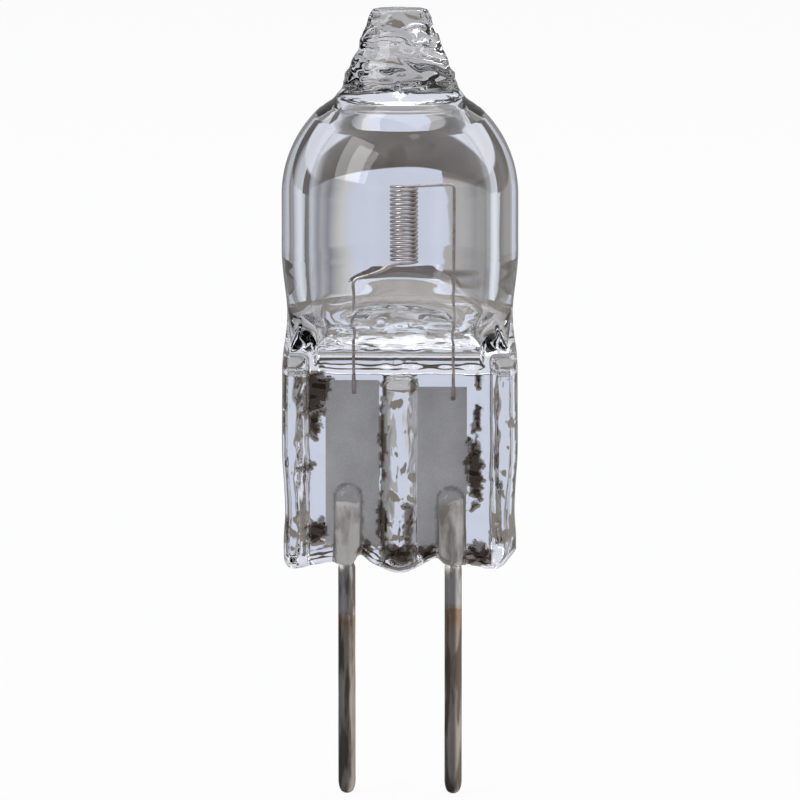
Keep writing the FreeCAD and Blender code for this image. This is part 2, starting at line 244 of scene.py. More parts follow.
def make_foil_finish():
    finish, tree, shader = new_finish("rolled_molybdenum")
    place = add(tree, "ShaderNodeTexCoord").outputs["Object"]
    cloud = mottle(tree, place, 700.0, 3.0, 0.55)
    lines = mottle(tree, stretched(tree, place, 0.08), 9000.0, 2.0)
    specks = mottle(tree, place, 16000.0, 3.0)
    tone = ramp(tree, cloud, ((0.3, (0.62, 0.62, 0.62)), (0.7, (0.76, 0.76, 0.765))))
    speckle = ramp(tree, specks, ((0.3, (0.86, 0.86, 0.87)), (0.7, (1.0, 1.0, 1.0))))
    tree.links.new(shaded(tree, tone, speckle), shader.inputs["Base Color"])
    tree.links.new(carried(tree, cloud, (0.0, 1.0), (0.5, 0.68)), shader.inputs["Roughness"])
    shader.inputs["Metallic"].default_value = 0.35
    rolling = add(tree, "ShaderNodeBump", {"Height": lines, "Strength": 0.2, "Distance": 0.00001})
    tree.links.new(rolling.outputs[0], shader.inputs["Normal"])
    return finish


foil_finish = make_foil_finish()
for foil_name in ("foil_left", "foil_right"):
    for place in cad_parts[foil_name].material_slots:
        place.material = foil_finish

# Filament
# One tungsten wire, close-wound on a mandrel into an upright coil. Its two ends run out to the sides and
# down to the foils, where each is squashed under the welding tip.
WIRE_RADIUS = 0.057
WIRE_SIDES = 10
COIL_RADIUS = 0.48
COIL_CENTRE = 0.15
COIL_PITCH = 0.159
COIL_TURNS = 18
COIL_BOTTOM = 11.71
STEPS_PER_TURN = 28
LEG_BEND = 0.22
LEG_BEND_STEPS = 6
LEG_LEFT = -1.72
LEG_RIGHT = 2.0
LEFT_RUN_OUT = 0.4
LEFT_DROP = 0.5
FOIL_LEFT_TOP = 7.3
FOIL_RIGHT_TOP = 7.06
WELD_LENGTH = 0.5
WELD_FRONT = -0.05
WELD_STEPS = 8
SQUASH_FROM = 7.4
SQUASH = 0.6


def make_wire_finish():
    finish, tree, shader = new_finish("tungsten_wire")
    place = add(tree, "ShaderNodeTexCoord").outputs["Object"]
    burnt = mottle(tree, place, 2500.0, 3.0)
    tone = ramp(tree, burnt, ((0.3, (0.36, 0.31, 0.29)), (0.7, (0.62, 0.56, 0.53))))
    tree.links.new(tone, shader.inputs["Base Color"])
    tree.links.new(carried(tree, burnt, (0.0, 1.0), (0.2, 0.38)), shader.inputs["Roughness"])
    shader.inputs["Metallic"].default_value = 1.0
    return finish


def rounded(points, bend, steps):
    """The points with each inner corner eased round by a bend."""
    path = [points[0]]
    for before, corner, after in zip(points, points[1:], points[2:]):
        start = corner + (before - corner).normalized() * bend
        end = corner + (after - corner).normalized() * bend
        for step in range(steps + 1):
            t = step / steps
            path.append(start.lerp(corner, t).lerp(corner.lerp(end, t), t))
    path.append(points[-1])
    return path


def wire_rings(path):
    """Rings round the wire's path. By the foils the wire is squashed for its welds."""
    rings = []
    tangents = [(b - a).normalized() for a, b in zip(path, path[1:])]
    tangents.append(tangents[-1])
    side = tangents[0].orthogonal().normalized()
    for point, heading in zip(path, tangents):
        side = (side - heading * side.dot(heading)).normalized()
        up = heading.cross(side)
        squash = 1.0 if point.z > SQUASH_FROM else SQUASH
        points = []
        for step in range(WIRE_SIDES):
            turn = 2 * math.pi * step / WIRE_SIDES
            offset = side * math.cos(turn) * WIRE_RADIUS + up * math.sin(turn) * WIRE_RADIUS
            offset.y *= squash
            offset.x /= squash ** 0.5
            points.append(point + offset)
        rings.append(points)
    return rings


def coil_point(turns):
    """A place on the coil, counted in turns from its lower end at the front."""
    angle = 2 * math.pi * turns - math.pi / 2
    x = COIL_CENTRE + COIL_RADIUS * math.cos(angle)
    return Vector((x, COIL_RADIUS * math.sin(angle), COIL_BOTTOM + COIL_PITCH * turns))


def leg(corners, foil_top):
    """A leg from its end of the coil, by its corners, to its weld on the foil."""
    weld = Vector((corners[-1].x, WELD_FRONT, foil_top - WELD_LENGTH))
    path = rounded(corners + [weld], LEG_BEND, LEG_BEND_STEPS)[:-1]
    above = path[-1]
    return path + [above.lerp(weld, step / WELD_STEPS) for step in range(1, WELD_STEPS + 1)]


def make_filament():
    coil = [coil_point(step / STEPS_PER_TURN) for step in range(COIL_TURNS * STEPS_PER_TURN + 1)]
    slope = Vector((2 * math.pi * COIL_RADIUS, 0, COIL_PITCH)).normalized()
    top, bottom = coil[-1], coil[0]
    right_corner = top + slope * ((LEG_RIGHT - top.x) / slope.x)
    right_leg = leg([top, right_corner], FOIL_RIGHT_TOP)
    left_corner = Vector((LEG_LEFT, bottom.y, bottom.z - LEFT_DROP))
    left_leg = leg([bottom, bottom - slope * LEFT_RUN_OUT, left_corner], FOIL_LEFT_TOP)
    path = list(reversed(left_leg))[:-1] + coil + right_leg[1:]
    wire = skin("filament_wire", wire_rings(path))
    wire.data.materials.append(make_wire_finish())
    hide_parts("filament")
    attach(wire, "root")


make_filament()

# Glass envelope
# Fused quartz tube, closed at the top by drawing it off in a flame, which leaves a blunt tip with folds.
# Its foot was pressed flat round the foils by two jaws, whose grooves left ribs over the pins and edges.
TIP_TOP = 21.2
TIP_END_RADII = (0.12, 0.3, 0.5, 0.7)
TIP_END_DISH = 0.04
TIP_FOOT = 17.5
# Half widths of the drawn-off tip, as (height, half width)
TIP_PROFILE = (
    (21.2, 0.86), (21.17, 0.98), (21.05, 1.07), (20.53, 1.28), (19.93, 1.51), (19.47, 1.69), (19.17, 1.85),
    (18.87, 2.0), (18.72, 2.05), (18.57, 2.07), (18.27, 2.19), (17.96, 2.38), (17.81, 2.53), (17.66, 2.76),
    (17.36, 3.14),
)
# Between these heights the barrel's even glass turns into the tip's melted glass, with its folds and swell.
MELT_FOOT = 17.4
MELT_TOP = 18.6
FOLD_HEIGHT = 0.16
FOLD_LEVEL = 0.25
SWELL_HEIGHT = 0.05
DRAWN_LINE_DEPTH = 0.004
BARREL_HALF = 4.42
DOME_CENTRE = 14.25
DOME_ROWS = 34
DOME_ROWS_REACH = 3.42
SHOULDER_TOP = 12.4
SHOULDER_MIDDLE = 10.3
SECTION_FLAT = 9.6
PRESS_START = 9.0
PRESS_TOP = 7.7
# Half widths of the shoulder, as (height, half width)
WAIST = (
    (12.4, 4.42), (12.0, 4.42), (11.5, 4.38), (11.2, 4.35), (10.8, 4.30), (10.4, 4.25), (10.0, 4.22),
    (9.6, 4.22), (9.2, 4.25), (8.8, 4.30), (8.4, 4.36), (8.0, 4.39), (7.7, 4.40),
)
# The slope that the jaws pressed into both faces of the shoulder
FLANK_TOP = 10.792
FLANK_SLOPE = 1.44
FLANK_ROUND = 1.044
FLANK_FOOT_ROUND = 0.8
# The corners over the side ribs are pressed less steeply.
CORNER_INNER = 2.8
CORNER_OUTER = 3.2
CORNER_FOOT = 8.4
CORNER_SLOPE = 0.55
# Half width of the seal, as (height, half width)
SEAL_SIDE = (
    (7.7, 4.40), (6.0, 4.41), (4.5, 4.41), (3.4, 4.34), (2.3, 4.30), (1.3, 4.36), (0.6, 4.33), (0.0, 4.2),
)
# The seal's wavy foot, as (across, height)
SEAL_FOOT = (
    (-4.42, 0.62), (-4.2, 0.24), (-3.87, 0.19), (-3.2, 0.3), (-2.55, 0.4), (-2.3, 0.33), (-2.0, 0.3),
    (-1.75, 0.36), (-1.52, 0.68), (-1.04, 0.36), (-0.5, 0.12), (-0.2, 0.03), (0.0, 0.0), (0.2, 0.03),
    (0.5, 0.14), (1.0, 0.4), (1.38, 0.56), (1.7, 0.34), (2.0, 0.3), (2.4, 0.3), (2.9, 0.26), (3.38, 0.16),
    (3.8, 0.26), (4.1, 0.6), (4.42, 1.0),
)
FOOT_HALF = 4.35
FOOT_ROUND = 0.4
FOOT_ROWS = 12
PLATE_HALF = 0.85
PLATE_ROWS = 104
PLATE_SWELL = 0.012
EDGE_ROUND = 0.46
EDGE_FULLNESS = 0.7
EDGE_COLUMNS = 18
FACE_COLUMNS = 54
LIP = 0.2
LIP_WAVE = 0.09
CENTRE_RIB_AT = 0.02
CENTRE_RIB_HALF = 0.6
CENTRE_RIB_HEIGHT = 0.33
CENTRE_RIB_TOP = 7.5
# The arched ribs over the pins, as (across, top)
PIN_RIBS = ((-1.92, 3.42), (1.92, 3.3))
PIN_RIB_HALF = 0.475
PIN_RIB_HEIGHT = 0.42
SIDE_RIB_AT = 3.94
SIDE_RIB_HALF = 0.48
SIDE_RIB_DEPTH = 1.45
SIDE_RIB_TOP = 8.6
SIDE_RIB_RUN_OUT = 0.7
STREAK_DEPTH = 0.035
CHIP_DEPTH = 0.05
MARK_DEPTH = 0.03
# Rough marks that the jaws dented into the seal, tinted dark brown as painted shade, as (across, height, half
# width, half height)
JAW_MARKS_AND_PAINTED_SHADE = (
    (-3.15, 6.9, 0.5, 0.95), (-3.2, 5.7, 0.22, 0.5), (-3.15, 1.6, 0.4, 0.42), (-3.5, 4.1, 0.3, 0.12),
    (-0.62, 5.1, 0.14, 1.3), (-0.66, 2.0, 0.2, 0.95), (0.33, 1.9, 0.19, 0.85), (0.0, 0.72, 0.5, 0.3),
    (-1.3, 1.05, 0.3, 0.25), (1.05, 0.85, 0.35, 0.3), (2.78, 4.0, 0.3, 1.2), (2.9, 6.0, 0.16, 0.45),
    (2.95, 0.72, 0.55, 0.32), (2.95, 7.35, 0.12, 0.3), (-0.55, 7.1, 0.1, 0.4), (0.5, 7.2, 0.1, 0.3),
)
# The fine groove that the jaws bit round each pin's rib, darkened in the glass's colour as painted shade
GROOVE_OFF = 0.03
GROOVE_HALF = 0.075
GROOVE_CORE = 0.04
GROOVE_PAINTED_SHADE = 0.8


def along(line, at):
    """A smooth value read off a line of (place, value) points in rising or falling order."""
    points = line if line[0][0] < line[-1][0] else tuple(reversed(line))
    if at <= points[0][0]:
        return points[0][1]
    if at >= points[-1][0]:
        return points[-1][1]
    spot = next(i for i in range(len(points) - 1) if at <= points[i + 1][0])
    x0, y0 = points[spot][:2]
    x1, y1 = points[spot + 1][:2]
    before = points[max(spot - 1, 0)]
    after = points[min(spot + 2, len(points) - 1)]
    slope_in = (y1 - before[1]) / (x1 - before[0])
    slope_out = (after[1] - y0) / (after[0] - x0)
    t = (at - x0) / (x1 - x0)
    reach = x1 - x0
    return (
        y0 * (2 * t**3 - 3 * t**2 + 1) + slope_in * reach * (t**3 - 2 * t**2 + t)
        + y1 * (3 * t**2 - 2 * t**3) + slope_out * reach * (t**3 - t**2)
    )


def ease(start, end, at):
    """0 up to start, 1 from end on, and smooth between; end may be the lower of the two."""
    t = min(max((at - start) / (end - start), 0.0), 1.0)
    return t * t * (3 - 2 * t)


def mound(at, centre, half):
    """A rounded rib's section: 1 at its crest, 0 beyond its feet."""
    t = abs(at - centre) / half
    return math.sqrt(1 - t * t) if t < 1 else 0.0


def soft_least(one, other, reach):
    """The lesser of two values, rounded off where they meet."""
    meeting = max(reach - abs(one - other), 0.0) / reach
    return min(one, other) - meeting * meeting * reach / 4


def round_part(half_width, x):
    """Half depth of a round section at a place across it."""
    return math.sqrt(max(half_width**2 - x * x, 0.0))


def from_rib_middle(x, z, rib):
    """How far a place on the seal is from the middle line of a pin's rib, and from its centre at the arch."""
    middle, top = rib
    return math.hypot(x - middle, max(z - top + PIN_RIB_HALF, 0.0))


def jaw_mark_and_painted_shade(x, z, face):
    """How far a place on the seal lies inside a ragged mark or a rib's groove, from 0 to 1; it sets the dent
    and the painted shade there.
    """
    ragged = 0.55 * uneven(x * 2.2, 3.0 * face, z * 2.2) + 0.6 * uneven(x * 4.6, 5.0 * face, z * 4.6)
    reach = min(math.hypot((x - mark[0]) / mark[2], (z - mark[1]) / mark[3]) for mark in JAW_MARKS_AND_PAINTED_SHADE)
    off_groove = min(abs(from_rib_middle(x, z, rib) - PIN_RIB_HALF - GROOVE_OFF) for rib in PIN_RIBS)
    groove = ease(GROOVE_HALF, GROOVE_CORE, off_groove + 0.05 * ragged)
    return max(ease(1.05, 0.95, reach + ragged), GROOVE_PAINTED_SHADE * groove)


def seal_half_depth(x, z, face):
    """Half thickness of the pressed seal on one face (front -1, back 1), ribs and press marks included."""
    off_middle = abs(x)
    lip_level = PRESS_TOP + LIP_WAVE * uneven(x * 1.3, 7.0 * face, 1.0)
    depth = PLATE_HALF + LIP * ease(lip_level - 0.1, lip_level + 0.12, z)
    centre_rib = CENTRE_RIB_HEIGHT * mound(x, CENTRE_RIB_AT, CENTRE_RIB_HALF)
    centre_rib *= ease(0.1, 0.5, CENTRE_RIB_TOP - z)
    pin_rib = PIN_RIB_HEIGHT * max(mound(from_rib_middle(x, z, rib), 0.0, PIN_RIB_HALF) for rib in PIN_RIBS)
    side_rib = (SIDE_RIB_DEPTH - PLATE_HALF) * ease(0.0, SIDE_RIB_RUN_OUT, SIDE_RIB_TOP - z)
    if off_middle <= SIDE_RIB_AT:
        side_rib *= mound(off_middle, SIDE_RIB_AT, SIDE_RIB_HALF)
    # Fine streaks run down the centre rib and the side ribs, and chips lie along the foot.
    on_ribs = max(ease(0.9, 0.5, off_middle), ease(3.2, 3.6, off_middle))
    streaks = uneven(x * 5.0, 11.0 * face, z * 0.9) + 0.7 * uneven(x * 9.0, 2.0 * face, z * 1.9)
    chips = ease(1.1, 0.5, z) * uneven(x * 3.0, 17.0 * face, z * 3.0)
    dent = MARK_DEPTH * jaw_mark_and_painted_shade(x, z, face) * (1 + uneven(x * 3.5, 13.0 * face, z * 3.5))
    swell = PLATE_SWELL * uneven(x * 0.9, 9.0 * face, z * 0.9)
    relief = STREAK_DEPTH * on_ribs * streaks + CHIP_DEPTH * chips - dent + swell
    return depth + max(centre_rib, pin_rib, side_rib) + relief


def columns_round():
    """The skin's columns in order round the lamp, as (column, face, right or left half).

    A column is (share of the way round the rounded edge, None) or (None, share across the flat face).
    """
    quarter = [(step / EDGE_COLUMNS, None) for step in range(EDGE_COLUMNS)]
    quarter += [(None, 1 - step / FACE_COLUMNS) for step in range(FACE_COLUMNS + 1)]
    columns = [(c, -1, 1) for c in quarter] + [(c, -1, -1) for c in reversed(quarter[:-1])]
    return columns + [(c, 1, -1) for c in quarter[1:]] + [(c, 1, 1) for c in reversed(quarter[1:-1])]


COLUMNS = columns_round()
TURNS = [-2 * math.pi * step / len(COLUMNS) for step in range(len(COLUMNS))]


def flat_point(column, z, half_width, face, right):
    """A point on the flat seal's skin at a height, for a column, a face and the right or left half."""
    edge, across = column
    inner = half_width - EDGE_ROUND
    if across is not None:
        x = inner * across
        depth = seal_half_depth(x * right, z, face)
    else:
        turn = edge * math.pi / 2
        x = inner + EDGE_ROUND * math.cos(turn) ** EDGE_FULLNESS
        depth = seal_half_depth(inner * right, z, face) * math.sin(turn) ** EDGE_FULLNESS
    return x * right, depth * face


def turned_half(z):
    """The turned bulb's half width at a height."""
    if z >= TIP_FOOT:
        return along(TIP_PROFILE, z)
    return round_part(BARREL_HALF, max(z - DOME_CENTRE, 0.0))


def drawn_relief(c, s, z):
    """How far the glass stands off its turned shape: sharp folds and a swell on the tip, fine lines below."""
    seed = Vector((c * 1.6, s * 1.6, z * 1.9))
    fold = abs(uneven(c * 1.5, s * 1.5, z * 1.9)) + 0.25 * abs(noise.noise(seed * 1.6))
    melted = SWELL_HEIGHT * noise.noise(seed) + FOLD_HEIGHT * (FOLD_LEVEL - fold)
    lines = DRAWN_LINE_DEPTH * (uneven(c * 2.2, s * 2.2, z * 0.5) - 1)
    return ease(MELT_FOOT, MELT_TOP, z) * melted + lines


def turned_rings():
    """The outer skin from the middle of the tip's end down to the foot of the barrel."""
    rings = []
    for radius in TIP_END_RADII:
        z = TIP_TOP - TIP_END_DISH * (1 - radius)
        rings.append([Vector((radius * math.cos(t), radius * math.sin(t), z)) for t in TURNS])
    # The rows lie closest together where the skin turns most sharply.
    heights = [21.2, 21.19, 21.17, 21.12]
    heights += [21.05 - 0.07 * step for step in range(37)]
    heights += [18.53 - 0.055 * step for step in range(1, 16)]
    for step in range(1, DOME_ROWS + 1):
        heights.append(DOME_CENTRE + DOME_ROWS_REACH * math.cos(math.pi / 2 * step / DOME_ROWS))
    heights += [13.5, 12.8]
    for z in heights:
        points = []
        for t in TURNS:
            c, s = math.cos(t), math.sin(t)
            radius = turned_half(z) + drawn_relief(c, s, z)
            points.append(Vector((radius * c, radius * s, z)))
        rings.append(points)
    return rings


def shoulder_rings():
    """The outer skin of the shoulder, where the round barrel is squeezed down to the flat seal."""
    heights = [SHOULDER_TOP - 0.06 * step for step in range(36)]
    heights += [SHOULDER_MIDDLE + (PRESS_TOP - SHOULDER_MIDDLE) * step / 30 for step in range(1, 31)]
    rings = []
    for z in heights:
        half_width = min(along(WAIST, z), BARREL_HALF)
        flank = BARREL_HALF + (z - FLANK_TOP) * FLANK_SLOPE
        flank = -soft_least(-flank, -PLATE_HALF - LIP, FLANK_FOOT_ROUND)
        corner_depth = SIDE_RIB_DEPTH + max(z - CORNER_FOOT, 0.0) * CORNER_SLOPE
        spread = ease(SHOULDER_TOP, SECTION_FLAT, z)
        pressed = ease(PRESS_START, PRESS_TOP, z)
        points = []
        for (column, face, right), t in zip(COLUMNS, TURNS):
            flat_x, flat_y = flat_point(column, z, half_width, face, right)
            x = (1 - spread) * half_width * math.cos(t) + spread * flat_x
            round_depth = round_part(half_width, x)
            corner = min(round_depth, corner_depth) * ease(CORNER_INNER, CORNER_OUTER, abs(x))
            y = face * max(soft_least(round_depth, flank, FLANK_ROUND), corner)
            points.append(Vector((x, (1 - pressed) * y + pressed * flat_y, z)))
        rings.append(points)
    return rings


def seal_rings():
    """The outer skin of the flat seal, down to its wavy foot, which is rounded under."""
    feet = [along(SEAL_FOOT, flat_point(column, PRESS_TOP, FOOT_HALF, face, right)[0])
            for column, face, right in COLUMNS]
    rings = []
    for row in range(1, PLATE_ROWS + 1):
        points = []
        for (column, face, right), foot in zip(COLUMNS, feet):
            z = PRESS_TOP + (foot + FOOT_ROUND - PRESS_TOP) * row / PLATE_ROWS
            x, y = flat_point(column, z, along(SEAL_SIDE, z), face, right)
            points.append(Vector((x, y, z)))
        rings.append(points)
    for row in range(1, FOOT_ROWS + 1):
        turn = math.pi / 2 * (1 - row / FOOT_ROWS)
        shrink = math.sin(turn) if row < FOOT_ROWS else 0.0
        points = []
        for point, foot in zip(rings[PLATE_ROWS - 1], feet):
            points.append(Vector((point.x, point.y * shrink, foot + FOOT_ROUND * (1 - math.cos(turn)))))
        rings.append(points)
    return rings


# The hollow. Its roof is a round dome up to a faint crease, and above that it closes to the tip's bore.
HOLLOW_HALF = 3.42
HOLLOW_TOP = 12.0
HOLLOW_FLOOR = 8.4
HOLLOW_COLUMNS = 144
ROOF_CREASE = 16.6
ROOF_ROWS = 24
ROOF_ROWS_REACH = 2.25
# Half widths above the crease, and of the pressed part, as (height, half width)
ROOF = (
    (16.6, 2.488), (17.15, 2.15), (17.35, 1.93), (17.48, 1.68), (17.57, 1.3), (17.62, 0.8), (17.68, 0.3),
    (17.8, 0.1), (18.05, 0.06), (18.3, 0.04), (18.4, 0.02),
)
HOLLOW_WAIST = ((12.0, 3.42), (11.5, 3.40), (10.7, 3.35), (9.6, 3.24), (8.7, 3.14), (8.38, 3.06))
HOLLOW_FLANK_TOP = 10.908
HOLLOW_ROUND = 0.803
FLANK_BOW = 0.558
FLOOR_GAP = 0.13
LEAST_GAP = 0.03
# The pinched part is wrinkled between these heights, and the bore wobbles more from its foot up.
WRINKLE_DEPTH = 0.075
WRINKLE_TOP = 10.2
WRINKLE_FOOT = 8.5
WRINKLE_FADE = 0.4
BORE_WOBBLE = 0.12
BORE_FOOT = 17.66
BORE_UNEVEN_FROM = 18.0


def hollow_half_width(z):
    if z > ROOF_CREASE:
        return along(ROOF, z)
    if z > SHOULDER_TOP:
        return round_part(HOLLOW_HALF, max(z - DOME_CENTRE, 0.0))
    return along(HOLLOW_WAIST, z)


def hollow_rings():
    """The sealed space in the bulb, round above and pinched to a thin wrinkled wedge at its floor."""
    # Rows down the bore, the roof, the round dome, the side, the pinched flanks and the floor
    heights = [18.4, 18.39, 18.36, 18.3, 18.2, 18.1, 18.0, 17.9, 17.8, 17.74, 17.68, 17.64, 17.6, 17.56]
    heights += [17.52, 17.48, 17.43, 17.38, 17.32, 17.24, 17.15, 17.0, 16.85, 16.7, 16.61, 16.59]
    for step in range(ROOF_ROWS + 1):
        heights.append(DOME_CENTRE + ROOF_ROWS_REACH * math.cos(math.pi / 2 * step / ROOF_ROWS))
    heights += [13.5, 12.8, 12.2]
    heights += [HOLLOW_TOP - 0.07 * step for step in range(51)]
    heights += [8.46, 8.42, 8.4, 8.38]
    rings = []
    for z in heights:
        half_width = hollow_half_width(z)
        rise = (z - HOLLOW_FLOOR) / (HOLLOW_FLANK_TOP - HOLLOW_FLOOR)
        bow = FLANK_BOW * math.sin(math.pi * min(max(rise, 0.0), 1.0))
        flank = max(FLOOR_GAP + (HOLLOW_HALF - FLOOR_GAP) * rise - bow, LEAST_GAP)
        wrinkled = WRINKLE_DEPTH * ease(WRINKLE_TOP, WRINKLE_TOP - WRINKLE_FADE, z)
        wrinkled *= ease(WRINKLE_FOOT, WRINKLE_FOOT + WRINKLE_FADE, z)
        wobbling = BORE_WOBBLE * ease(BORE_FOOT, BORE_UNEVEN_FROM, z)
        points = []
        for step in range(HOLLOW_COLUMNS):
            t = -2 * math.pi * step / HOLLOW_COLUMNS
            c, s = math.cos(t), math.sin(t)
            x = half_width * c
            depth = soft_least(half_width * abs(s), flank, min(HOLLOW_ROUND, flank))
            seed = Vector((x * 1.3, math.copysign(4.0, s), z * 3.6))
            depth += wrinkled * (noise.noise(seed) + 0.6 * noise.noise(seed * 2.1)) * ease(0.0, 0.4, depth)
            wobble = 1 + wobbling * uneven(c, s, z * 3.0)
            points.append(Vector((x * wobble, math.copysign(depth, s) * wobble, z)))
        rings.append(points)
    return rings


# Two flat bubbles that the flame closed into the tip, as (centre, half width, half depth, half height)
BUBBLES = (((0.42, -0.15, 20.42), 0.42, 0.34, 0.17), ((0.6, -0.25, 19.83), 0.27, 0.27, 0.17))
BUBBLE_ROWS = 16
BUBBLE_SIDES = 32


def bubble_rings(centre, across, deep, high):
    rings = []
    for step in range(1, BUBBLE_ROWS):
        turn = math.pi * step / BUBBLE_ROWS
        level = (centre[0], centre[1], centre[2] + high * math.cos(turn))
        rings.append(ring(level, across * math.sin(turn), deep * math.sin(turn), BUBBLE_SIDES))
    return rings


def blend(tree, share, low, high):
    """A colour that goes from low to high with a share from 0 to 1."""
    node = add(tree, "ShaderNodeMix", data_type="RGBA")
    for socket, given in ((node.inputs["Factor"], share), (node.inputs["A"], low), (node.inputs["B"], high)):
        if isinstance(given, bpy.types.NodeSocket):
            tree.links.new(given, socket)
        else:
            socket.default_value = given
    return node.outputs["Result"]


def make_glass_finish():
    finish, tree, shader = new_finish("clear_quartz")
    place = add(tree, "ShaderNodeTexCoord").outputs["Object"]
    lines = mottle(tree, stretched(tree, place, 0.15), 2400.0, 2.0)
    tone = ramp(tree, lines, ((0.3, (0.975, 0.98, 0.985)), (0.7, (0.99, 0.99, 0.995))))
    # The jaw marks and the grooves round the pin ribs are tinted dark brown here: painted shade.
    shade_marks = add(tree, "ShaderNodeAttribute", attribute_name="jaw_mark_and_painted_shade", attribute_type="GEOMETRY")
    with_painted_shade = blend(tree, shade_marks.outputs["Fac"], tone, (0.07, 0.052, 0.04, 1.0))
    tree.links.new(with_painted_shade, shader.inputs["Base Color"])
    shader.inputs["Roughness"].default_value = 0.0
    shader.inputs["IOR"].default_value = 1.458
    shader.inputs["Transmission Weight"].default_value = 1.0
    return finish


def make_glass():
    """One piece of glass: the outer skin with the hollow and the bubbles turned inside out in it."""
    outside = skin("outside", turned_rings() + shoulder_rings() + seal_rings())
    hollows = [skin("hollow", hollow_rings())]
    hollows += [skin("bubble", bubble_rings(*bubble)) for bubble in BUBBLES]
    mesh = bmesh.new()
    mesh.from_mesh(outside.data)
    # The last row of the foot lies double along its middle line, and is welded there.
    bmesh.ops.remove_doubles(mesh, verts=mesh.verts, dist=0.00001 * MM)
    for hollow in hollows:
        hollow.data.flip_normals()
        mesh.from_mesh(hollow.data)
    data = bpy.data.meshes.new("glass_body")
    mesh.to_mesh(data)
    mesh.free()
    # Each point keeps its share of the jaw marks' painted shade, for the glass's colour.
    stain = data.attributes.new("jaw_mark_and_painted_shade", "FLOAT", "POINT")
    for point, place in zip(stain.data, data.vertices):
        x, y, z = place.co / MM
        if z < PRESS_TOP and abs(x) < SIDE_RIB_AT:
            point.value = jaw_mark_and_painted_shade(x, z, math.copysign(1, y))
    for spare in [outside] + hollows:
        bpy.data.objects.remove(spare)
    glass = bpy.data.objects.new("glass_body", data)
    bpy.context.scene.collection.objects.link(glass)
    glass.data.materials.append(make_glass_finish())
    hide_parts("glass_envelope")
    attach(glass, "root")


make_glass()

# Camera
# A long lens, a little above the lamp and a touch to its right, aimed at about the middle of its height.
AIM = Vector((0.0, 0.0, 6.52))
LENS = 300.0
SENSOR = 36.0
PICTURE_WIDTH = 29.96
CAMERA_TURN = 1.5
CAMERA_RISE = 7.0


def make_camera():
    data = bpy.data.cameras.new("camera")
    data.lens = LENS
    data.sensor_width = SENSOR
    data.clip_start = 0.001
    data.clip_end = 10.0
    camera = bpy.data.objects.new("camera", data)
    bpy.context.scene.collection.objects.link(camera)
    turn, rise = math.radians(CAMERA_TURN), math.radians(CAMERA_RISE)
    back = Vector((math.sin(turn) * math.cos(rise), -math.cos(turn) * math.cos(rise), math.sin(rise)))
    camera.location = (AIM + back * (LENS * PICTURE_WIDTH / SENSOR)) * MM
    camera.rotation_mode = "QUATERNION"
    camera.rotation_quaternion = (-back).to_track_quat("-Z", "Y")
    bpy.context.scene.camera = camera


make_camera()

# Table and studio
# A plain pale table in a studio, white where the camera looks straight at them. Through the glass and in
# it the studio shows as pale cards with darker gaps between them.
TABLE_HALF = 2.0
TABLE_LEVEL = -8.4
TABLE_WHITE = 0.93
QUARTER = 90.0
CARD = (0.60, 0.645, 0.765)
CARD_RIGHT_EDGE = 5.15
LEAN_REACH = 8.0
LEAN = -0.63


def make_table():
    mesh = bmesh.new()
    bmesh.ops.create_grid(mesh, x_segments=1, y_segments=1, size=TABLE_HALF)
    data = bpy.data.meshes.new("table")
    mesh.to_mesh(data)
    mesh.free()
    table = bpy.data.objects.new("table", data)
    table.location.z = TABLE_LEVEL * MM
    bpy.context.scene.collection.objects.link(table)
    finish = bpy.data.materials.new("pale_table")
    finish.use_nodes = True
    tree = finish.node_tree
    tree.nodes.clear()
    paper = add(tree, "ShaderNodeBsdfDiffuse", {"Color": (0.80, 0.80, 0.80, 1.0)}).outputs[0]
    white = add(tree, "ShaderNodeEmission", {"Color": (1.0, 1.0, 1.0, 1.0), "Strength": 1.0}).outputs[0]
    clear = add(tree, "ShaderNodeBsdfTransparent").outputs[0]
    rays = add(tree, "ShaderNodeLightPath").outputs
    whitened = maths(tree, "MULTIPLY", rays["Is Camera Ray"], TABLE_WHITE)
    seen = add(tree, "ShaderNodeMixShader", {0: whitened, 1: paper, 2: white}).outputs[0]
    in_glass = maths(tree, "MAXIMUM", rays["Is Transmission Ray"], rays["Is Glossy Ray"])
    shown = add(tree, "ShaderNodeMixShader", {0: in_glass, 1: seen, 2: clear}).outputs[0]
    add(tree, "ShaderNodeOutputMaterial", {"Surface": shown})
    table.data.materials.append(finish)


make_table()


